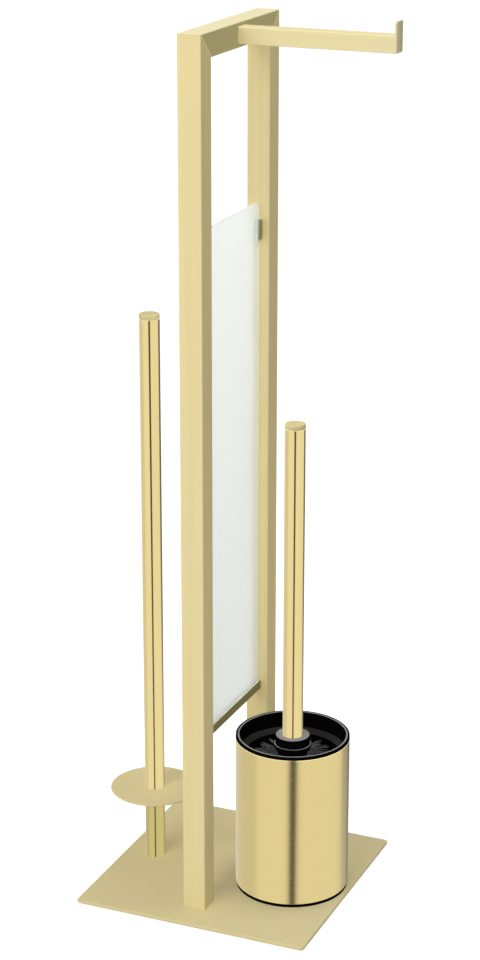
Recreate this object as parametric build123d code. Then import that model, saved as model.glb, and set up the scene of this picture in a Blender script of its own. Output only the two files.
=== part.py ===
from build123d import *
import os

# Free-standing toilet paper holder with a spare roll post and a toilet brush set.
# Millimetres, +Z up. The origin is the centre of the underside, on the floor.
# +X is the way the roll arm points, +Y is away from the viewer.

# Base plate and the mat under it
PLATE_SIZE = 200.0
PLATE_T = 3.0
PLATE_CORNER_R = 3.0
PLATE_SOFT = 1.0
MAT_T = 1.0
MAT_INSET = 3.0
ACCESS_GAP = 2.5

# Square tube frame, mitred and welded at the top
TUBE = 19.0
TUBE_WALL = 1.0
TUBE_CORNER_R = 0.8
FRAME_X = -5.0
FRAME_DEPTH = 150.0
UPRIGHT_LENGTH = 707.0
MITRE_ANGLE = 45.0
MITRE_GROOVE_R = 0.25
PLUG_LENGTH = 20.0

# Countersunk screws, the head sunk in the base plate
SCREW_D = 5.0
SCREW_TIP_SOFT = 0.5
SCREW_HEAD_SHARE = 0.8
SCREW_GRIP = 14.0
HEX_SHARE = 0.6

# Roll arm of square tube and the plate that closes and stops its end
ARM_SIZE = 13.0
ARM_WALL = 1.0
ARM_CORNER_R = 0.8
ARM_REACH = 125.0
STOP_THICK = 1.5
STOP_RISE = 10.0
STOP_SOFT = 0.3

# Glass panel with its rail and clips
GLASS_T = 4.0
GLASS_HEIGHT = 414.0
GLASS_CORNER_R = 2.0
GLASS_PLAY = 1.0
GLASS_SOFT = 0.4
RAIL_LIFT = 142.8
RAIL_HEIGHT = 7.0
RAIL_WALL = 1.0
LINER_T = 0.5
LINER_SHOW = 3.0
LINER_PROUD = 1.5
CLIP_HEIGHT = 15.5
CLIP_DROP = 13.5
CLIP_LEG = 5.0
CLIP_WALL = 0.9

# Spare roll post
POST_OFFSET = 60.0
POST_D = 16.5
POST_WALL = 1.2
SPACER_LENGTH = 61.9
DISC_D = 74.0
DISC_T = 1.5
DISC_SOFT = 0.4
POST_LENGTH = 407.0

# Round end caps of the post and the brush handle
CAP_RIM = 4.0
CAP_ROUND = 0.9
CAP_SEAM = 0.35
CAP_SPIGOT = 8.0

# Brush holder: metal sleeve, black foot and black insert
HOLDER_D = 93.0
HOLDER_OFFSET = 55.3
HOLDER_HEIGHT = 134.0
SLEEVE_WALL = 0.8
SLEEVE_SOFT = 0.35
FOOT_HEIGHT = 2.7
FOOT_INSET = 0.5
FOOT_SPIGOT = 6.0
FOOT_RING = 2.0
LIP_HEIGHT = 2.4
LIP_ROUND = 0.4
LIP_ROUND_SHARE = 0.45
INSERT_CLEAR = 0.8
INSERT_WALL = 1.6
INSERT_DROP = 2.0
INSERT_SOFT = 1.0
LEDGE_DROP = 13.5
LEDGE_WIDTH = 4.8
LEDGE_FALL = 3.2
INSERT_TAPER = 3.0

# Toilet brush
HANDLE_D = 16.5
HANDLE_WALL = 1.2
HANDLE_OUT = 261.5
COLLAR_DROP = 0.5
COLLAR_WALL = 5.8
COLLAR_HEIGHT = 7.5
COLLAR_ROUND = 0.8
FLANGE_STEP = 1.3
FLANGE_HEIGHT = 2.0
FLANGE_ROUND = 0.5
SHOULDER_INSET = 1.0
SHOULDER_HEIGHT = 2.5
SOCKET_DEPTH = 20.0
CORE_WALL = 3.8
STUD_D = 8.0
STUD_SOFT = 0.8
STUD_LENGTH = 16.0
THREAD_SPARE = 2.0
BRISTLE_GAP = 1.0
BRISTLE_CLEAR = 3.0
BRISTLE_ROUND = 14.0
BRISTLE_TOP_ROUND = 7.0
CORE_END_GAP = 22.0

# Fits, and how far a cutting solid runs past the face that it cuts
SLIDE_FIT = 0.1
THREAD_FIT = 0.05
HOLE_FIT = 0.2
CUT_OVER = 1.0

# Levels and places that follow from the sizes above
plate_bottom = MAT_T
plate_top = MAT_T + PLATE_T
frame_top = plate_top + UPRIGHT_LENGTH
frame_low = frame_top - TUBE
frame_half = FRAME_DEPTH / 2
tube_bore = TUBE - 2 * TUBE_WALL
tube_left = FRAME_X - TUBE / 2
tube_right = FRAME_X + TUBE / 2
upright_y = frame_half - TUBE / 2
inner_y = frame_half - TUBE
post_x = tube_left - POST_OFFSET
head_h = SCREW_HEAD_SHARE * PLATE_T
head_r = SCREW_D / 2 + head_h

arm_z = frame_top - TUBE / 2
arm_low = arm_z - ARM_SIZE / 2
arm_high = arm_z + ARM_SIZE / 2
arm_end = tube_right + ARM_REACH - STOP_THICK

rail_bottom = plate_top + RAIL_LIFT
rail_top = rail_bottom + RAIL_HEIGHT
glass_bottom = rail_bottom + RAIL_WALL + LINER_T
glass_top = glass_bottom + GLASS_HEIGHT
glass_half_y = inner_y - CLIP_WALL - LINER_T - GLASS_PLAY
clip_top = glass_top - CLIP_DROP
clip_bottom = clip_top - CLIP_HEIGHT

disc_bottom = plate_top + SPACER_LENGTH
disc_top = disc_bottom + DISC_T
post_end = disc_top + POST_LENGTH

holder_r = HOLDER_D / 2
holder_x = FRAME_X + HOLDER_OFFSET
foot_top = plate_top + FOOT_HEIGHT
rim_z = plate_top + HOLDER_HEIGHT
lip_bottom = rim_z - LIP_HEIGHT
sleeve_bore_r = holder_r - SLEEVE_WALL
insert_r = sleeve_bore_r - INSERT_CLEAR
insert_bore_r = insert_r - INSERT_WALL
lip_round = min(LIP_ROUND, LIP_ROUND_SHARE * (holder_r - insert_bore_r))
ledge_z = rim_z - LEDGE_DROP
ledge_r = insert_bore_r - LEDGE_WIDTH
insert_low_r = ledge_r - INSERT_TAPER
insert_bottom = foot_top + INSERT_DROP
insert_floor = insert_bottom + INSERT_WALL

collar_top = rim_z - COLLAR_DROP
collar_bottom = collar_top - COLLAR_HEIGHT
flange_bottom = collar_bottom - FLANGE_HEIGHT
shoulder_bottom = flange_bottom - SHOULDER_HEIGHT
socket_r = HANDLE_D / 2 + SLIDE_FIT
collar_r = socket_r + COLLAR_WALL
flange_r = collar_r + FLANGE_STEP
shoulder_r = flange_r - SHOULDER_INSET
core_r = socket_r + CORE_WALL
socket_floor = collar_top - SOCKET_DEPTH
core_end = insert_floor + CORE_END_GAP
bristle_top = shoulder_bottom - BRISTLE_GAP
bristle_r = insert_low_r - BRISTLE_CLEAR
handle_end = collar_top + HANDLE_OUT


def block(x0, x1, y0, y1, z0, z1):
    centre = Pos((x0 + x1) / 2, (y0 + y1) / 2, (z0 + z1) / 2)
    return centre * Box(x1 - x0, y1 - y0, z1 - z0)


def rod(x, y, r, z0, z1):
    return Pos(x, y, (z0 + z1) / 2) * Cylinder(r, z1 - z0)


def pipe(x, y, r_out, r_in, z0, z1):
    return rod(x, y, r_out, z0, z1) - rod(x, y, r_in, z0, z1)


def turned(x, y, points):
    """Solid of revolution about a vertical axis at x, y from (radius, height) points."""
    profile = Plane.XZ * make_face(Polyline(*points, close=True))
    return Pos(x, y, 0) * revolve(profile, Axis.Z)


def rim_edge(shape, r, z):
    """The round edge of radius r at height z."""
    rings = shape.edges().filter_by(GeomType.CIRCLE)
    return rings.sort_by(lambda ring: abs(ring.radius - r) + abs(ring.center().Z - z))[0]


def slab(size, corner_r, z0, z1):
    return Pos(0, 0, z0) * extrude(RectangleRounded(size, size, corner_r), z1 - z0)


def screw_places():
    return [(FRAME_X, -upright_y), (FRAME_X, upright_y), (post_x, 0)]


def base_mat():
    mat = slab(PLATE_SIZE - 2 * MAT_INSET, PLATE_CORNER_R, 0, MAT_T)
    for x, y in screw_places():
        mat -= rod(x, y, head_r + ACCESS_GAP, -CUT_OVER, MAT_T + CUT_OVER)
    return mat


def screw_hole(x, y):
    hole_r = SCREW_D / 2 + HOLE_FIT
    seat_r = head_r + HOLE_FIT
    seat_top = plate_bottom + seat_r - hole_r
    start = plate_bottom - CUT_OVER
    end = plate_top + CUT_OVER
    return turned(x, y, [(0, start), (seat_r, start), (seat_r, plate_bottom), (hole_r, seat_top),
                         (hole_r, end), (0, end)])


def base_plate():
    plate = slab(PLATE_SIZE, PLATE_CORNER_R, plate_bottom, plate_top)
    levels = plate.edges().group_by(Axis.Z)
    plate = fillet(levels[0] + levels[-1], PLATE_SOFT)
    for x, y in screw_places():
        plate -= screw_hole(x, y)
    return plate


def square_tube(size, wall, corner_r):
    bore = size - 2 * wall
    return RectangleRounded(size, size, corner_r) - Rectangle(bore, bore)


def frame_prism(points):
    """Upright prism across the frame from an outline in its plane, to cut the mitres with."""
    face = Plane.YZ * make_face(Polyline(*points, close=True))
    return Pos(FRAME_X, 0, 0) * extrude(face, TUBE, both=True)


def mitre_grooves(side):
    """Fine round grooves along the weld on both flat sides of the front (-1) or rear (1) top corner."""
    groove = Rot(-MITRE_ANGLE * side, 0, 0) * Cylinder(MITRE_GROOVE_R, 2 * TUBE)
    return [Pos(x, side * upright_y, arm_z) * groove for x in (tube_left, tube_right)]


def upright(side):
    section = square_tube(TUBE, TUBE_WALL, TUBE_CORNER_R)
    tube = Pos(FRAME_X, side * upright_y, plate_top) * extrude(section, UPRIGHT_LENGTH)
    outer = side * frame_half
    inner = side * inner_y
    tube &= frame_prism([(outer, plate_top), (inner, plate_top), (inner, frame_low), (outer, frame_top)])
    return tube - mitre_grooves(side)


def top_crossbar():
    section = Plane.XZ * square_tube(TUBE, TUBE_WALL, TUBE_CORNER_R)
    tube = Pos(FRAME_X, frame_half, arm_z) * extrude(section, FRAME_DEPTH)
    tube &= frame_prism([(-frame_half, frame_top), (frame_half, frame_top), (inner_y, frame_low),
                         (-inner_y, frame_low)])
    return tube - mitre_grooves(-1) - mitre_grooves(1)


def upright_foot_plug(side):
    size = tube_bore - 2 * SLIDE_FIT
    y = side * upright_y
    plug = Pos(FRAME_X, y, plate_top) * extrude(Rectangle(size, size), PLUG_LENGTH)
    end = plate_top + PLUG_LENGTH
    return plug - rod(FRAME_X, y, SCREW_D / 2 + THREAD_FIT, plate_top - CUT_OVER, end + CUT_OVER)


def countersunk_screw(x, y, tip_z):
    shank_r = SCREW_D / 2
    body = turned(x, y, [(0, plate_bottom), (head_r, plate_bottom), (shank_r, plate_bottom + head_h),
                         (shank_r, tip_z - SCREW_TIP_SOFT), (shank_r - SCREW_TIP_SOFT, tip_z), (0, tip_z)])
    key = extrude(RegularPolygon(shank_r * HEX_SHARE, 6), head_h * HEX_SHARE)
    return body - Pos(x, y, plate_bottom) * key


def roll_arm():
    section = Plane.YZ * square_tube(ARM_SIZE, ARM_WALL, ARM_CORNER_R)
    return Pos(tube_right, 0, arm_z) * extrude(section, arm_end - tube_right)


def roll_arm_end_stop():
    half = ARM_SIZE / 2
    stop = block(arm_end, arm_end + STOP_THICK, -half, half, arm_low, arm_high + STOP_RISE)
    stop = fillet(stop.edges().filter_by(Axis.X), ARM_CORNER_R)
    return chamfer(stop.faces().sort_by(Axis.X)[-1].edges(), STOP_SOFT)


def glass_panel():
    half_t = GLASS_T / 2
    panel = block(FRAME_X - half_t, FRAME_X + half_t, -glass_half_y, glass_half_y, glass_bottom, glass_top)
    panel = fillet(panel.edges().filter_by(Axis.X), GLASS_CORNER_R)
    rims = panel.faces().sort_by(Axis.X)
    return chamfer(rims[0].edges() + rims[-1].edges(), GLASS_SOFT)


def channel(half_t, wall, half_y, z0, z1):
    outer = block(FRAME_X - half_t - wall, FRAME_X + half_t + wall, -half_y, half_y, z0, z1)
    end_y = half_y + CUT_OVER
    return outer - block(FRAME_X - half_t, FRAME_X + half_t, -end_y, end_y, z0 + wall, z1 + CUT_OVER)


def glass_rail():
    return channel(GLASS_T / 2 + LINER_T, RAIL_WALL, inner_y, rail_bottom, rail_top)


def glass_rail_liner():
    return channel(GLASS_T / 2, LINER_T, glass_half_y, rail_bottom + RAIL_WALL, rail_top)


def side_channel(side, half_t, wall, web_y, leg, z0, z1):
    """Channel on the inner side of an upright, open towards the middle of the frame."""
    y0, y1 = sorted([side * web_y, side * (web_y - leg)])
    outer = block(FRAME_X - half_t - wall, FRAME_X + half_t + wall, y0, y1, z0, z1)
    s0, s1 = sorted([side * (web_y - wall), side * (web_y - leg - CUT_OVER)])
    return outer - block(FRAME_X - half_t, FRAME_X + half_t, s0, s1, z0 - CUT_OVER, z1 + CUT_OVER)


def glass_clip(side):
    half_t = GLASS_T / 2 + LINER_T
    return side_channel(side, half_t, CLIP_WALL, inner_y, CLIP_LEG, clip_bottom, clip_top)


def clip_liner(side):
    leg = CLIP_LEG - CLIP_WALL + LINER_SHOW
    low = clip_bottom - LINER_PROUD
    high = clip_top + LINER_PROUD
    return side_channel(side, GLASS_T / 2, LINER_T, inner_y - CLIP_WALL, leg, low, high)


def end_cap(x, y, diameter, wall, z):
    """Round cap on a tube's end at height z, with a fine groove where it meets the tube."""
    r = diameter / 2
    spigot_r = r - wall - SLIDE_FIT
    groove_r = r - CAP_SEAM
    low = z - CAP_SPIGOT
    top = z + CAP_RIM
    cap = turned(x, y, [(0, low), (spigot_r, low), (spigot_r, z), (groove_r, z), (groove_r, z + CAP_SEAM),
                        (r, z + CAP_SEAM), (r, top), (0, top)])
    return fillet(rim_edge(cap, r, top), CAP_ROUND)


def spare_post_spacer():
    return pipe(post_x, 0, POST_D / 2, POST_D / 2 - POST_WALL, plate_top, disc_bottom)


def spare_roll_disc():
    disc = rod(post_x, 0, DISC_D / 2, disc_bottom, disc_top)
    disc = chamfer(disc.edges(), DISC_SOFT)
    return disc - rod(post_x, 0, SCREW_D / 2 + HOLE_FIT, disc_bottom - CUT_OVER, disc_top + CUT_OVER)


def spare_post_tube():
    return pipe(post_x, 0, POST_D / 2, POST_D / 2 - POST_WALL, disc_top, post_end)


def spare_post_plug():
    plug_r = POST_D / 2 - POST_WALL - SLIDE_FIT
    return pipe(post_x, 0, plug_r, SCREW_D / 2 + THREAD_FIT, disc_top, disc_top + PLUG_LENGTH)


def holder_foot():
    foot = rod(holder_x, 0, holder_r - FOOT_INSET, plate_top, foot_top)
    ring_r = sleeve_bore_r - SLIDE_FIT
    return foot + pipe(holder_x, 0, ring_r, ring_r - FOOT_RING, foot_top, foot_top + FOOT_SPIGOT)


def holder_sleeve():
    sleeve = pipe(holder_x, 0, holder_r, sleeve_bore_r, foot_top, lip_bottom)
    rims = [rim_edge(sleeve, holder_r, z) for z in (foot_top, lip_bottom)]
    return chamfer(rims, SLEEVE_SOFT)


def holder_insert():
    low_out = insert_low_r + INSERT_WALL
    under = ledge_z - INSERT_WALL
    insert = turned(holder_x, 0, [
        (0, insert_bottom), (low_out - INSERT_SOFT, insert_bottom), (low_out, insert_bottom + INSERT_SOFT),
        (ledge_r + INSERT_WALL, under - LEDGE_FALL), (insert_r, under), (insert_r, lip_bottom),
        (holder_r, lip_bottom), (holder_r, rim_z), (insert_bore_r, rim_z), (insert_bore_r, ledge_z),
        (ledge_r, ledge_z - LEDGE_FALL), (insert_low_r, insert_floor), (0, insert_floor)])
    return fillet([rim_edge(insert, holder_r, rim_z), rim_edge(insert, insert_bore_r, rim_z)], lip_round)


def brush_handle_tube():
    return pipe(holder_x, 0, HANDLE_D / 2, HANDLE_D / 2 - HANDLE_WALL, socket_floor, handle_end)


def brush_handle_stud():
    plug_r = HANDLE_D / 2 - HANDLE_WALL - SLIDE_FIT
    stud_r = STUD_D / 2
    tip = socket_floor - STUD_LENGTH
    end = socket_floor + PLUG_LENGTH
    return turned(holder_x, 0, [(0, tip), (stud_r - STUD_SOFT, tip), (stud_r, tip + STUD_SOFT),
                                (stud_r, socket_floor), (plug_r, socket_floor), (plug_r, end), (0, end)])


def brush_head():
    thread_r = STUD_D / 2 + THREAD_FIT
    thread_end = socket_floor - STUD_LENGTH - THREAD_SPARE
    head = turned(holder_x, 0, [
        (0, core_end), (core_r, core_end), (core_r, shoulder_bottom), (shoulder_r, shoulder_bottom),
        (shoulder_r, flange_bottom), (flange_r, flange_bottom), (flange_r, collar_bottom),
        (collar_r, collar_bottom), (collar_r, collar_top), (socket_r, collar_top), (socket_r, socket_floor),
        (thread_r, socket_floor), (thread_r, thread_end), (0, thread_end)])
    head = fillet(rim_edge(head, collar_r, collar_top), COLLAR_ROUND)
    return fillet(rim_edge(head, flange_r, collar_bottom), FLANGE_ROUND)


def brush_bristles():
    hole_r = core_r + THREAD_FIT
    low_r = bristle_r - BRISTLE_ROUND
    top_r = bristle_r - BRISTLE_TOP_ROUND
    outline = turned(holder_x, 0, [
        (0, insert_floor), (low_r, insert_floor), (bristle_r, insert_floor + BRISTLE_ROUND),
        (bristle_r, bristle_top - BRISTLE_ROUND), (top_r, bristle_top), (0, bristle_top)])
    return outline - rod(holder_x, 0, hole_r, core_end - THREAD_FIT, bristle_top + CUT_OVER)


def pair(make):
    """Two like solids in one node, one for the front upright and one for the rear one."""
    return Compound([make(side).solid() for side in (-1, 1)])


def upright_screw(side):
    return countersunk_screw(FRAME_X, side * upright_y, plate_top + SCREW_GRIP)


def make_nodes():
    return {
        "base_mat": base_mat(),
        "base_plate": base_plate(),
        "front_upright": upright(-1),
        "rear_upright": upright(1),
        "top_crossbar": top_crossbar(),
        "upright_foot_plugs": pair(upright_foot_plug),
        "upright_screws": pair(upright_screw),
        "roll_arm": roll_arm(),
        "roll_arm_end_stop": roll_arm_end_stop(),
        "glass_panel": glass_panel(),
        "glass_rail": glass_rail(),
        "glass_rail_liner": glass_rail_liner(),
        "front_glass_clip": glass_clip(-1),
        "rear_glass_clip": glass_clip(1),
        "glass_clip_liners": pair(clip_liner),
        "spare_post_spacer": spare_post_spacer(),
        "spare_roll_disc": spare_roll_disc(),
        "spare_post_tube": spare_post_tube(),
        "spare_post_plug": spare_post_plug(),
        "spare_post_cap": end_cap(post_x, 0, POST_D, POST_WALL, post_end),
        "spare_post_screw": countersunk_screw(post_x, 0, disc_top + SCREW_GRIP),
        "holder_foot": holder_foot(),
        "holder_sleeve": holder_sleeve(),
        "holder_insert": holder_insert(),
        "brush_handle_tube": brush_handle_tube(),
        "brush_handle_cap": end_cap(holder_x, 0, HANDLE_D, HANDLE_WALL, handle_end),
        "brush_handle_stud": brush_handle_stud(),
        "brush_head": brush_head(),
        "brush_bristles": brush_bristles(),
    }


os.makedirs("parts", exist_ok=True)
for name, shape in make_nodes().items():
    export_step(shape, "parts/" + name + ".step")
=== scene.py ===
import math
import random

import bpy
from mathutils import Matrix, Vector


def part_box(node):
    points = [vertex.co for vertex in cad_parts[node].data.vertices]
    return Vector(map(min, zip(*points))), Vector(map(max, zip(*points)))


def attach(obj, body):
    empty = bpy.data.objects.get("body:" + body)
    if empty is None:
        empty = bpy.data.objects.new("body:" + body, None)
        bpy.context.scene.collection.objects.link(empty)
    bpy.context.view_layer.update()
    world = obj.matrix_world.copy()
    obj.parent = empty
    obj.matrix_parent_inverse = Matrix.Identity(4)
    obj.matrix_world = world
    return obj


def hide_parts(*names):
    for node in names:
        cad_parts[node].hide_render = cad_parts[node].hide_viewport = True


# Looks of a free-standing toilet paper holder with a spare roll post and a toilet brush.
# Metres, +Z up, in the frame of the solids, which keep their shapes and get their finishes here.

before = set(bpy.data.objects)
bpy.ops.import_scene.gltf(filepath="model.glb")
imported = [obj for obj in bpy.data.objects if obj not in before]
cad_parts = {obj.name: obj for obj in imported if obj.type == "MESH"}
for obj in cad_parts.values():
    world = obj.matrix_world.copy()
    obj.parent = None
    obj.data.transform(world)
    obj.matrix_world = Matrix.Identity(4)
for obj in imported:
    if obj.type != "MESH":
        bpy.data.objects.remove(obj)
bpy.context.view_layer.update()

# Camera, from a fit to the photograph's straight edges (metres, degrees, lens and sensor in millimetres)
CAMERA_PLACE = (0.7003, -1.6338, 0.9536)
CAMERA_AZIMUTH = 23.20
CAMERA_ELEVATION = 18.73
CAMERA_LENS = 88.6
CAMERA_SENSOR = 36.0
CAMERA_SHIFT = (0.0041, -0.0016)

# Lamps (metres, watts), the plain light from all round, and the floor
AMBIENT = 0.365
KEY_PLACE = (-0.6, -3.05, 1.8)
KEY_SIZE = 2.2
KEY_POWER = 65.0
TOP_PLACE = (0.4, 0.2, 2.6)
TOP_SIZE = 0.6
TOP_POWER = 11.0
LIGHT_TARGET = (0, 0, 0.35)
FLOOR_GLOW = 0.66
FLOOR_GREY = 0.82
FLOOR_ROUGH = 0.9
FLOOR_RADIUS = 12.0
FLOOR_SIDES = 96

# What reflections see, by the turn to the right of STUDIO_AZIMUTH (degrees), as levels of white.
# GAP_HALF_ANGLE, WALL_START and WALL_LEVEL each have a value for rays below LOW_RAY and one for rays above.
STUDIO_AZIMUTH = CAMERA_AZIMUTH
LOW_RAY = (-0.415, -0.395)
GAP_HALF_ANGLE = (5.6, 10.0)
GAP_EDGE_SHARE = (0.8, 1.25)
GAP_LEVEL = 0.08
LEFT_BOX = (-82.0, -75.0)
LEFT_LEVEL = 0.82
RIGHT_BOX = (92.0, 138.0)
RIGHT_LEVEL = 0.76
WALL_START = (145.0, 111.0)
WALL_FADE = 8.0
WALL_LEVEL = (0.4, 0.2)
SKY_RISE = (0.05, 0.25)
SKY_LEVEL = 2.0

# Colours, linear
SATIN_GOLD = (0.80, 0.68, 0.352)
# Painted shade: the crossbar's gold is a darker copy of the uprights' gold
BAR_SHADED_GOLD = (0.645, 0.555, 0.252)
# Painted shade: the end stop's gold is a darker, greyer copy of the frame's gold
STOP_SHADED_GOLD = (0.71, 0.625, 0.39)
# Painted shade: the glass clips' gold is a dark copy of the frame's gold
CLIP_SHADED_GOLD = (0.42, 0.355, 0.19)
# Painted shade: the glass rail's gold is a dark copy of the frame's gold
RAIL_SHADED_GOLD = (0.28, 0.255, 0.115)
SLEEVE_GOLD = (0.75, 0.61, 0.278)
TUBE_GOLD = (0.83, 0.68, 0.315)
CAP_GOLD = (0.62, 0.53, 0.275)
# Painted reflection: the spacer's gold is a darker, more saturated copy of the tube gold, in place of the
# plate mirrored in it
SPACER_REFLECTION_GOLD = (0.61, 0.50, 0.19)
PLATE_GOLD = (0.70, 0.60, 0.315)
ARM_GOLD = (0.81, 0.71, 0.40)
ZINC = (0.55, 0.56, 0.58)
BLACK = (0.0025, 0.0025, 0.0027)
# Grey of the painted highlight on up-facing black plastic
RIM_HIGHLIGHT_GREY = (0.28, 0.28, 0.285)
MAT_BLACK = (0.02, 0.02, 0.021)
# Painted shade: the frosted glass's colour goes darker towards the bottom, as if less light reached it there
GLASS_SHADED_LOW = (0.788, 0.827, 0.79)
GLASS_LIT_HIGH = (0.922, 0.955, 0.917)
LINER = (0.96, 0.98, 0.93)
WHITE = (1.0, 1.0, 1.0)

# How the fine hairs of a finish are drawn out along each axis (per metre), and how strong they are
HAIR_X = (4, 350, 350)
HAIR_Y = (350, 4, 350)
HAIR_Z = (350, 350, 4)
HAIR_WIDE = (260, 260, 4)
HAIR_RING = (40, 40, 1800)
HAIR_NONE = (600, 600, 600)
HAIR_DETAIL = 2.0
HAIR_CONTRAST = 0.025
# Strong hairs on the end stop: streaks that are partly grain and partly painted reflection
STOP_CONTRAST = 0.15
SLEEVE_CONTRAST = 0.012

# Gloss of the golds
SATIN_METAL = 0.2
SATIN_ROUGH = 0.45
SATIN_SPECULAR = 0.0
PLATE_METAL = 0.08
PLATE_SPECULAR = 0.1
BAR_ROUGH = 0.4
BAR_SPECULAR = 0.3
TUBE_ROUGH = 0.16
SLEEVE_ROUGH = 0.26
ROUGH_SPREAD = 0.015
BRUSHED_STRETCH = 0.85
BRUSHED_TURN = 0.25

# Painted highlight along the crossbar's weld seams, a pale line in place of the seam's glint: where it
# starts to fade and ends (metres), and how much lighter it is
WELD_GLINT_SPAN = (0.0012, 0.0024)
WELD_GLINT_GAIN = 1.3

# Grain of the other materials (per metre), its range of tint and roughness, and bump as depth and strength
NOISE_RANGE = (0.3, 0.7)
GRAIN_DETAIL = 4.0
EVEN = (1, 1, 1)
ZINC_GRAIN = 600.0
ZINC_TINT = (0.85, 1.1)
ZINC_ROUGH = (0.28, 0.42)
ZINC_BUMP = (0.00002, 0.2)
PLASTIC_GRAIN = 500.0
PLASTIC_TINT = (0.9, 1.1)
PLASTIC_ROUGH = (0.18, 0.22)
PLASTIC_SPECULAR = 0.0
BRISTLE_GRAIN = 300.0
BRISTLE_TINT = (0.8, 1.6)
BRISTLE_ROUGH = (0.2, 0.3)
BRISTLE_SPECULAR = 0.2
PORE_GRAIN = 700.0
PORE_DETAIL = 6.0
PORE_TINT = (0.7, 1.4)
PORE_ROUGH = (0.75, 0.95)
PORE_BUMP = (0.0002, 0.6)
FROST_GRAIN = 1500.0
FROST_DETAIL = 3.0
FROST_ROUGH = (0.6, 0.7)
FROST_BUMP = (0.00002, 0.1)
GLASS_IOR = 1.5
GLASS_SPECULAR = 0.15
GLASS_CLEAR = 0.96
LINER_GRAIN = 400.0
LINER_TINT = (0.97, 1.0)
LINER_ROUGH = (0.35, 0.5)

# Black plastic gets a painted grey highlight where it looks up, within a share of its radius, as if the
# light above caught it
UP_FACING = (0.8, 0.98)
WHOLE_SHARE = 1.5
CREST_SHARE = 0.966
SHARE_EDGE = 0.005

# Bristles (metres)
TUFT_ROWS = 15
TUFTS_PER_ROW = 17
ROW_TURN_SHARE = 0.5
STRANDS_PER_TUFT = 9
STRAND_RADIUS = 0.0005
STRAND_TIP_SHARE = 0.6
STRAND_SIDES = 6
STRAND_SEED = 7
TUFT_LOW_GAP = 0.003
TUFT_TOP_GAP = 0.004
TUFT_SPREAD = 0.0021
TUFT_ROOT_SHARE = 0.22
LENGTH_SPREAD = 0.0018
ROOT_SHARE = 0.37
END_GAP = 0.0005


def rgba(colour, gain=1.0):
    return (colour[0] * gain, colour[1] * gain, colour[2] * gain, 1.0)


def radians(angles):
    return [math.radians(angle) for angle in angles]


def node(tree, kind, **settings):
    made = tree.nodes.new(kind)
    for key, value in settings.items():
        setattr(made, key, value)
    return made


def new_material(name):
    mat = bpy.data.materials.new(name)
    mat.use_nodes = True
    tree = mat.node_tree
    tree.nodes.clear()
    out = node(tree, "ShaderNodeOutputMaterial")
    shader = node(tree, "ShaderNodeBsdfPrincipled")
    tree.links.new(shader.outputs["BSDF"], out.inputs["Surface"])
    return mat, tree, shader


def grain(tree, scale, stretch, detail):
    """Noise in object space, drawn out along the axes by stretch."""
    place = node(tree, "ShaderNodeTexCoord")
    mapping = node(tree, "ShaderNodeMapping")
    mapping.inputs["Scale"].default_value = stretch
    noise = node(tree, "ShaderNodeTexNoise")
    noise.inputs["Scale"].default_value = scale
    noise.inputs["Detail"].default_value = detail
    tree.links.new(place.outputs["Object"], mapping.inputs["Vector"])
    tree.links.new(mapping.outputs["Vector"], noise.inputs["Vector"])
    return noise.outputs["Fac"]


def ranged(tree, value, start, end, low, high, **settings):
    made = node(tree, "ShaderNodeMapRange", **settings)
    for key, number in (("From Min", start), ("From Max", end), ("To Min", low), ("To Max", high)):
        made.inputs[key].default_value = number
    tree.links.new(value, made.inputs["Value"])
    return made.outputs["Result"]


def spread(tree, value, low, high):
    """Maps a noise value to the range low to high."""
    return ranged(tree, value, *NOISE_RANGE, low, high)


def fade(tree, value, start, end, low, high):
    """Smooth change from low to high while the value goes from start to end."""
    return ranged(tree, value, start, end, low, high, interpolation_type="SMOOTHSTEP")


def mix_colour(tree, share, first, second):
    """Goes from the first colour to the second; a colour is a tuple or the output of a node."""
    mix = node(tree, "ShaderNodeMix", data_type="RGBA")
    tree.links.new(share, mix.inputs["Factor"])
    for key, colour in (("A", first), ("B", second)):
        if isinstance(colour, tuple):
            mix.inputs[key].default_value = colour
        else:
            tree.links.new(colour, mix.inputs[key])
    return mix.outputs["Result"]


def tint(tree, value, colour, dark, light):
    """Varies a colour from its dark share to its light share by a noise value."""
    return mix_colour(tree, spread(tree, value, 0.0, 1.0), rgba(colour, dark), rgba(colour, light))


def math_node(tree, operation, a, b=None):
    made = node(tree, "ShaderNodeMath", operation=operation)
    for k, value in enumerate((a, b)):
        if value is None:
            continue
        if isinstance(value, (int, float)):
            made.inputs[k].default_value = value
        else:
            tree.links.new(value, made.inputs[k])
    return made.outputs["Value"]


def bump(tree, shader, value, distance, strength):
    made = node(tree, "ShaderNodeBump")
    made.inputs["Distance"].default_value = distance
    made.inputs["Strength"].default_value = strength
    tree.links.new(value, made.inputs["Height"])
    tree.links.new(made.outputs["Normal"], shader.inputs["Normal"])


def generated_place(tree):
    """Where a point lies in its piece's own box, from 0 to 1 along each axis."""
    place = node(tree, "ShaderNodeSeparateXYZ")
    tree.links.new(node(tree, "ShaderNodeTexCoord").outputs["Generated"], place.inputs["Vector"])
    return place.outputs


def grained(name, colour, scale, tints, roughs, detail=GRAIN_DETAIL):
    """Plain material with an even grain that changes its tint and gloss."""
    mat, tree, shader = new_material(name)
    fine = grain(tree, scale, EVEN, detail)
    tree.links.new(tint(tree, fine, colour, *tints), shader.inputs["Base Color"])
    tree.links.new(spread(tree, fine, *roughs), shader.inputs["Roughness"])
    return mat, tree, shader, fine


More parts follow.
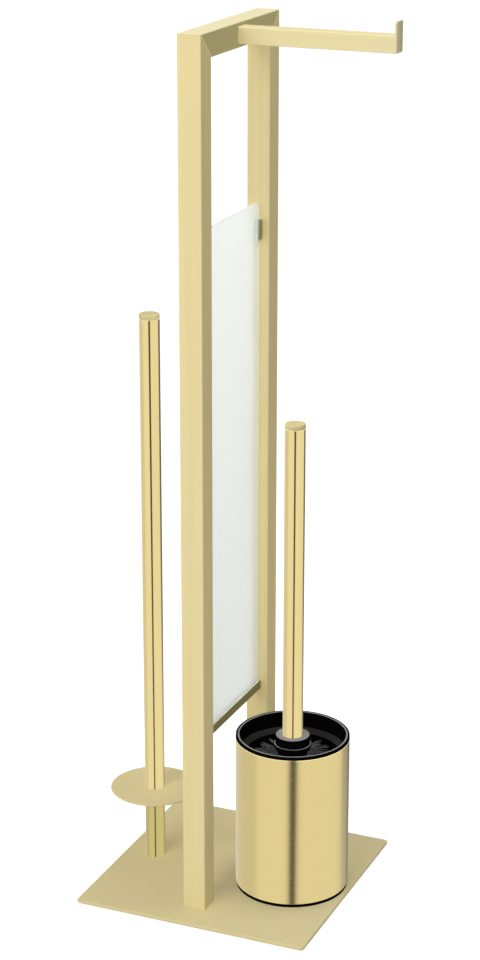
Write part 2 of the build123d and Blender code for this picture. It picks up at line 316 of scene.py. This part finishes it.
def gold(name, colour, metallic, rough, hair, contrast=HAIR_CONTRAST):
    """Gold finish with fine hairs, drawn out by hair, that change its tint and gloss."""
    mat, tree, shader = new_material(name)
    fine = grain(tree, 1.0, hair, HAIR_DETAIL)
    shade = tint(tree, fine, colour, 1 - contrast, 1 + contrast)
    gloss = spread(tree, fine, rough - ROUGH_SPREAD, rough + ROUGH_SPREAD)
    tree.links.new(shade, shader.inputs["Base Color"])
    tree.links.new(gloss, shader.inputs["Roughness"])
    shader.inputs["Metallic"].default_value = metallic
    return mat, tree, shader, shade


def satin_gold(name, colour, hair, contrast=HAIR_CONTRAST):
    mat, _, shader, _ = gold(name, colour, SATIN_METAL, SATIN_ROUGH, hair, contrast)
    shader.inputs["Specular IOR Level"].default_value = SATIN_SPECULAR
    return mat


def plate_gold():
    mat, _, shader, _ = gold("plate_gold", PLATE_GOLD, PLATE_METAL, SATIN_ROUGH, HAIR_NONE)
    shader.inputs["Specular IOR Level"].default_value = PLATE_SPECULAR
    return mat


def bar_gold():
    """Gold of the crossbar, a darker copy of the uprights' gold as painted shade, with a painted highlight:
    a pale line where it is welded to the uprights.
    """
    mat, tree, shader, shade = gold("bar_gold", BAR_SHADED_GOLD, SATIN_METAL, BAR_ROUGH, HAIR_Y)
    shader.inputs["Specular IOR Level"].default_value = BAR_SPECULAR
    low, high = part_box("top_crossbar")
    length = high[1] - low[1]
    depth = high[2] - low[2]
    place = generated_place(tree)
    from_front = math_node(tree, "MULTIPLY", place["Y"], length)
    from_rear = math_node(tree, "SUBTRACT", length, from_front)
    from_end = math_node(tree, "MINIMUM", from_front, from_rear)
    height = math_node(tree, "MULTIPLY", place["Z"], depth)
    from_weld = math_node(tree, "ADD", math_node(tree, "SUBTRACT", height, depth), from_end)
    # Painted highlight: a pale line along the mitred weld seam at each end
    line = fade(tree, from_weld, *WELD_GLINT_SPAN, 1.0, 0.0)
    weld_glint_colour = mix_colour(tree, line, shade, rgba(BAR_SHADED_GOLD, WELD_GLINT_GAIN))
    tree.links.new(weld_glint_colour, shader.inputs["Base Color"])
    return mat


def turned_gold(name, colour, rough, hair, contrast=HAIR_CONTRAST):
    """Brushed metal of a round piece, with a gloss that is drawn out along its axis."""
    mat, tree, shader, _ = gold(name, colour, 1.0, rough, hair, contrast)
    shader.inputs["Anisotropic"].default_value = BRUSHED_STRETCH
    shader.inputs["Anisotropic Rotation"].default_value = BRUSHED_TURN
    tangent = node(tree, "ShaderNodeTangent", direction_type="RADIAL", axis="Z")
    tree.links.new(tangent.outputs["Tangent"], shader.inputs["Tangent"])
    return mat


def zinc_steel():
    mat, tree, shader, fine = grained("zinc_steel", ZINC, ZINC_GRAIN, ZINC_TINT, ZINC_ROUGH)
    shader.inputs["Metallic"].default_value = 1.0
    bump(tree, shader, fine, *ZINC_BUMP)
    return mat


def radius_share(tree, place):
    """How far a point lies from its piece's upright axis, where 1 is the outside."""
    flat = node(tree, "ShaderNodeMapping")
    flat.inputs["Location"].default_value = (-1, -1, 0)
    flat.inputs["Scale"].default_value = (2, 2, 0)
    tree.links.new(place.outputs["Generated"], flat.inputs["Vector"])
    radius = node(tree, "ShaderNodeVectorMath", operation="LENGTH")
    tree.links.new(flat.outputs["Vector"], radius.inputs[0])
    return radius.outputs["Value"]


def black_plastic(name, reach):
    """Black plastic with a painted grey highlight on the faces that look up within a share of its radius."""
    mat, tree, shader = new_material(name)
    fine = grain(tree, PLASTIC_GRAIN, EVEN, GRAIN_DETAIL)
    place = node(tree, "ShaderNodeTexCoord")
    facing = node(tree, "ShaderNodeSeparateXYZ")
    tree.links.new(place.outputs["Normal"], facing.inputs["Vector"])
    upward = fade(tree, facing.outputs["Z"], *UP_FACING, 0.0, 1.0)
    inside = fade(tree, radius_share(tree, place), reach - SHARE_EDGE, reach + SHARE_EDGE, 1.0, 0.0)
    # Painted highlight: faces that look up, inside the share of the radius, turn grey as if lit from above
    painted_highlight_share = math_node(tree, "MULTIPLY", upward, inside)
    shade = mix_colour(tree, painted_highlight_share, tint(tree, fine, BLACK, *PLASTIC_TINT), rgba(RIM_HIGHLIGHT_GREY))
    tree.links.new(shade, shader.inputs["Base Color"])
    tree.links.new(spread(tree, fine, *PLASTIC_ROUGH), shader.inputs["Roughness"])
    shader.inputs["Specular IOR Level"].default_value = PLASTIC_SPECULAR
    return mat


def black_bristle():
    mat, _, shader, _ = grained("black_bristle", BLACK, BRISTLE_GRAIN, BRISTLE_TINT, BRISTLE_ROUGH)
    shader.inputs["Specular IOR Level"].default_value = BRISTLE_SPECULAR
    return mat


def mat_rubber():
    finish = (PORE_GRAIN, PORE_TINT, PORE_ROUGH, PORE_DETAIL)
    mat, tree, shader, pores = grained("mat_rubber", MAT_BLACK, *finish)
    bump(tree, shader, pores, *PORE_BUMP)
    return mat


def frosted_glass():
    mat, tree, shader = new_material("frosted_glass")
    frost = grain(tree, FROST_GRAIN, EVEN, FROST_DETAIL)
    # Painted shade: darker towards the bottom of the panel
    shade = mix_colour(tree, generated_place(tree)["Z"], rgba(GLASS_SHADED_LOW), rgba(GLASS_LIT_HIGH))
    tree.links.new(shade, shader.inputs["Base Color"])
    tree.links.new(spread(tree, frost, *FROST_ROUGH), shader.inputs["Roughness"])
    shader.inputs["IOR"].default_value = GLASS_IOR
    shader.inputs["Specular IOR Level"].default_value = GLASS_SPECULAR
    shader.inputs["Transmission Weight"].default_value = GLASS_CLEAR
    bump(tree, shader, frost, *FROST_BUMP)
    return mat


def clear_liner():
    return grained("clear_liner", LINER, LINER_GRAIN, LINER_TINT, LINER_ROUGH)[0]


def dress(nodes, mat):
    for name in nodes:
        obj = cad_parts[name]
        obj.data.materials.clear()
        obj.data.materials.append(mat)


def dress_all():
    dress(["base_plate", "spare_roll_disc"], plate_gold())
    dress(["front_upright", "rear_upright"], satin_gold("upright_gold", SATIN_GOLD, HAIR_Z))
    dress(["roll_arm"], satin_gold("arm_gold", ARM_GOLD, HAIR_X))
    # End stop: darker gold as painted shade, with streaks partly grain and partly painted reflection
    dress(["roll_arm_end_stop"], satin_gold("stop_gold", STOP_SHADED_GOLD, HAIR_WIDE, STOP_CONTRAST))
    dress(["top_crossbar"], bar_gold())
    # Glass rail: dark gold as painted shade
    dress(["glass_rail"], satin_gold("rail_gold", RAIL_SHADED_GOLD, HAIR_Y))
    # Glass clips: dark gold as painted shade
    dress(["front_glass_clip", "rear_glass_clip"], satin_gold("clip_gold", CLIP_SHADED_GOLD, HAIR_Z))
    dress(["spare_post_tube", "brush_handle_tube"], turned_gold("tube_gold", TUBE_GOLD, TUBE_ROUGH, HAIR_Z))
    dress(["spare_post_cap", "brush_handle_cap"], satin_gold("cap_gold", CAP_GOLD, HAIR_NONE))
    # Spacer: darker gold as painted reflection of the plate
    dress(["spare_post_spacer"], turned_gold("spacer_gold", SPACER_REFLECTION_GOLD, TUBE_ROUGH, HAIR_Z))
    sleeve_gold = turned_gold("sleeve_gold", SLEEVE_GOLD, SLEEVE_ROUGH, HAIR_RING, SLEEVE_CONTRAST)
    dress(["holder_sleeve"], sleeve_gold)
    dress(["upright_foot_plugs", "upright_screws", "spare_post_plug", "spare_post_screw",
           "brush_handle_stud"], zinc_steel())
    # Painted highlight on up-facing faces: everywhere on the foot and the brush head, and on the insert only
    # inside the outer part of its lip
    dress(["holder_foot", "brush_head"], black_plastic("black_plastic", WHOLE_SHARE))
    dress(["holder_insert"], black_plastic("insert_plastic", CREST_SHARE))
    dress(["base_mat"], mat_rubber())
    dress(["glass_panel"], frosted_glass())
    dress(["glass_rail_liner", "glass_clip_liners"], clear_liner())


def quiet_mirrors():
    """As in the photograph, no piece is mirrored in another, and the holder lights no other piece."""
    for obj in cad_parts.values():
        obj.visible_glossy = False
    for name in ("holder_sleeve", "holder_insert"):
        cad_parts[name].visible_diffuse = False


def strand(verts, faces, root, tip):
    """One bristle: a thin spike from root to tip."""
    along = (tip - root).normalized()
    side = along.orthogonal().normalized()
    up = along.cross(side)
    first = len(verts)
    for end, size in ((root, STRAND_RADIUS), (tip, STRAND_RADIUS * STRAND_TIP_SHARE)):
        for k in range(STRAND_SIDES):
            turn = 2 * math.pi * k / STRAND_SIDES
            verts.append(end + (side * math.cos(turn) + up * math.sin(turn)) * size)
    ring = list(range(first, first + STRAND_SIDES))
    ahead = ring[1:] + ring[:1]
    for a, b in zip(ring, ahead):
        faces.append((a, b, b + STRAND_SIDES, a + STRAND_SIDES))
    faces.append(tuple(reversed(ring)))
    faces.append(tuple(a + STRAND_SIDES for a in ring))


def bristle_mesh():
    """Rows of tufts round the core of the brush, inside the space of its plain solid."""
    rng = random.Random(STRAND_SEED)
    low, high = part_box("brush_bristles")
    head_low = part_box("brush_head")[0]
    axis = Vector(((low[0] + high[0]) / 2, (low[1] + high[1]) / 2, 0))
    reach = (high[0] - low[0]) / 2 - 2 * STRAND_RADIUS
    root_r = reach * ROOT_SHARE
    bottom = head_low[2] + TUFT_LOW_GAP
    top = high[2] - TUFT_TOP_GAP
    verts, faces = [], []
    for row in range(TUFT_ROWS):
        up = Vector((0, 0, bottom + (top - bottom) * row / (TUFT_ROWS - 1)))
        for k in range(TUFTS_PER_ROW):
            turn = 2 * math.pi * (k + ROW_TURN_SHARE * (row % 2)) / TUFTS_PER_ROW
            out = Vector((math.cos(turn), math.sin(turn), 0))
            for _ in range(STRANDS_PER_TUFT):
                lean = Vector([rng.uniform(-1, 1) for _ in "xyz"]) * TUFT_SPREAD
                root = axis + out * root_r + up + lean * TUFT_ROOT_SHARE
                end = axis + out * (reach - rng.uniform(0, LENGTH_SPREAD)) + up + lean
                flat = Vector((end.x - axis.x, end.y - axis.y, 0))
                if flat.length > reach:
                    end -= flat.normalized() * (flat.length - reach)
                end.z = min(max(end.z, low[2] + END_GAP), high[2] - END_GAP)
                strand(verts, faces, root, end)
    mesh = bpy.data.meshes.new("bristle_tufts")
    mesh.from_pydata(verts, [], faces)
    for face in mesh.polygons:
        face.use_smooth = len(face.vertices) == 4
    return mesh


def bristles():
    mesh = bristle_mesh()
    piece = bpy.data.objects.new("bristle_tufts", mesh)
    bpy.context.scene.collection.objects.link(piece)
    mesh.materials.append(black_bristle())
    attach(piece, "brush")
    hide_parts("brush_bristles")
    piece.visible_glossy = False


def floor():
    """Pale floor that takes the shadow and looks white where the camera or the glass sees it."""
    bpy.ops.mesh.primitive_circle_add(vertices=FLOOR_SIDES, radius=FLOOR_RADIUS, fill_type="NGON")
    plane = bpy.context.object
    plane.name = "floor"
    mat, tree, shader = new_material("floor_white")
    shader.inputs["Base Color"].default_value = rgba(WHITE, FLOOR_GREY)
    shader.inputs["Roughness"].default_value = FLOOR_ROUGH
    shader.inputs["Emission Color"].default_value = rgba(WHITE)
    path = node(tree, "ShaderNodeLightPath")
    seen = math_node(tree, "MAXIMUM", path.outputs["Is Camera Ray"], path.outputs["Is Transmission Ray"])
    tree.links.new(math_node(tree, "MULTIPLY", seen, FLOOR_GLOW), shader.inputs["Emission Strength"])
    plane.data.materials.append(mat)
    plane.visible_glossy = False


def part_along(tree, ray, direction):
    made = node(tree, "ShaderNodeVectorMath", operation="DOT_PRODUCT")
    made.inputs[1].default_value = direction
    tree.links.new(ray, made.inputs[0])
    return made.outputs["Value"]


def reflected_room(tree, ray):
    """Level of white that a reflection sees: a dark gap, dimmer sides, a low wall and a softbox above."""
    a = math.radians(STUDIO_AZIMUTH)
    ahead = part_along(tree, ray, (math.sin(a), -math.cos(a), 0))
    aside = part_along(tree, ray, (math.cos(a), math.sin(a), 0))
    up = part_along(tree, ray, (0, 0, 1))
    turn = math_node(tree, "ARCTAN2", aside, ahead)

    half = fade(tree, up, *LOW_RAY, *radians(GAP_HALF_ANGLE))
    gap_share = math_node(tree, "DIVIDE", math_node(tree, "ABSOLUTE", turn), half)
    gap = fade(tree, gap_share, *GAP_EDGE_SHARE, GAP_LEVEL, 1.0)

    left = fade(tree, turn, *radians(LEFT_BOX), LEFT_LEVEL, 1.0)
    right = fade(tree, turn, *radians(RIGHT_BOX), 1.0, RIGHT_LEVEL)

    start = fade(tree, up, *LOW_RAY, *radians(WALL_START))
    past_start = math_node(tree, "SUBTRACT", turn, start)
    lit = fade(tree, past_start, 0.0, math.radians(WALL_FADE), 1.0, 0.0)
    wall = math_node(tree, "MAXIMUM", lit, fade(tree, up, *LOW_RAY, *WALL_LEVEL))

    above = fade(tree, up, *SKY_RISE, 0.0, SKY_LEVEL)
    sides = math_node(tree, "MULTIPLY", math_node(tree, "MULTIPLY", left, right), wall)
    return math_node(tree, "MULTIPLY", gap, math_node(tree, "MAXIMUM", sides, above))


def studio_world():
    """White where the camera or the glass sees it, a room in reflections, and plain soft light elsewhere."""
    world = bpy.data.worlds.new("studio")
    bpy.context.scene.world = world
    world.use_nodes = True
    tree = world.node_tree
    tree.nodes.clear()
    out = node(tree, "ShaderNodeOutputWorld")
    back = node(tree, "ShaderNodeBackground")
    back.inputs["Color"].default_value = rgba(WHITE)
    tree.links.new(back.outputs["Background"], out.inputs["Surface"])
    path = node(tree, "ShaderNodeLightPath").outputs
    ray = node(tree, "ShaderNodeTexCoord").outputs["Generated"]
    plain = math_node(tree, "MAXIMUM", path["Is Camera Ray"], path["Is Transmission Ray"])
    shiny = math_node(tree, "MULTIPLY", path["Is Glossy Ray"], reflected_room(tree, ray))
    seen = math_node(tree, "MAXIMUM", plain, shiny)
    soft = math_node(tree, "SUBTRACT", 1.0, math_node(tree, "MAXIMUM", plain, path["Is Glossy Ray"]))
    level = math_node(tree, "ADD", seen, math_node(tree, "MULTIPLY", soft, AMBIENT))
    tree.links.new(level, back.inputs["Strength"])


def area_light(name, place, size, power):
    lamp = bpy.data.lights.new(name, "AREA")
    lamp.shape = "SQUARE"
    lamp.size = size
    lamp.energy = power
    obj = bpy.data.objects.new(name, lamp)
    bpy.context.scene.collection.objects.link(obj)
    obj.location = place
    obj.rotation_mode = "QUATERNION"
    obj.rotation_quaternion = (Vector(LIGHT_TARGET) - Vector(place)).to_track_quat("-Z", "Y")
    return obj


def lights():
    key = area_light("key_softbox", KEY_PLACE, KEY_SIZE, KEY_POWER)
    key.visible_glossy = False
    area_light("top_softbox", TOP_PLACE, TOP_SIZE, TOP_POWER)


def camera():
    data = bpy.data.cameras.new("camera")
    data.sensor_width = CAMERA_SENSOR
    data.lens = CAMERA_LENS
    data.shift_x, data.shift_y = CAMERA_SHIFT
    obj = bpy.data.objects.new("camera", data)
    bpy.context.scene.collection.objects.link(obj)
    a, e = radians((CAMERA_AZIMUTH, CAMERA_ELEVATION))
    back = Vector((math.sin(a) * math.cos(e), -math.cos(a) * math.cos(e), math.sin(e)))
    obj.location = CAMERA_PLACE
    obj.rotation_mode = "QUATERNION"
    obj.rotation_quaternion = (-back).to_track_quat("-Z", "Y")
    bpy.context.scene.camera = obj


camera()
bpy.context.scene.view_settings.view_transform = "Standard"
studio_world()
lights()
floor()
dress_all()
quiet_mirrors()
bristles()
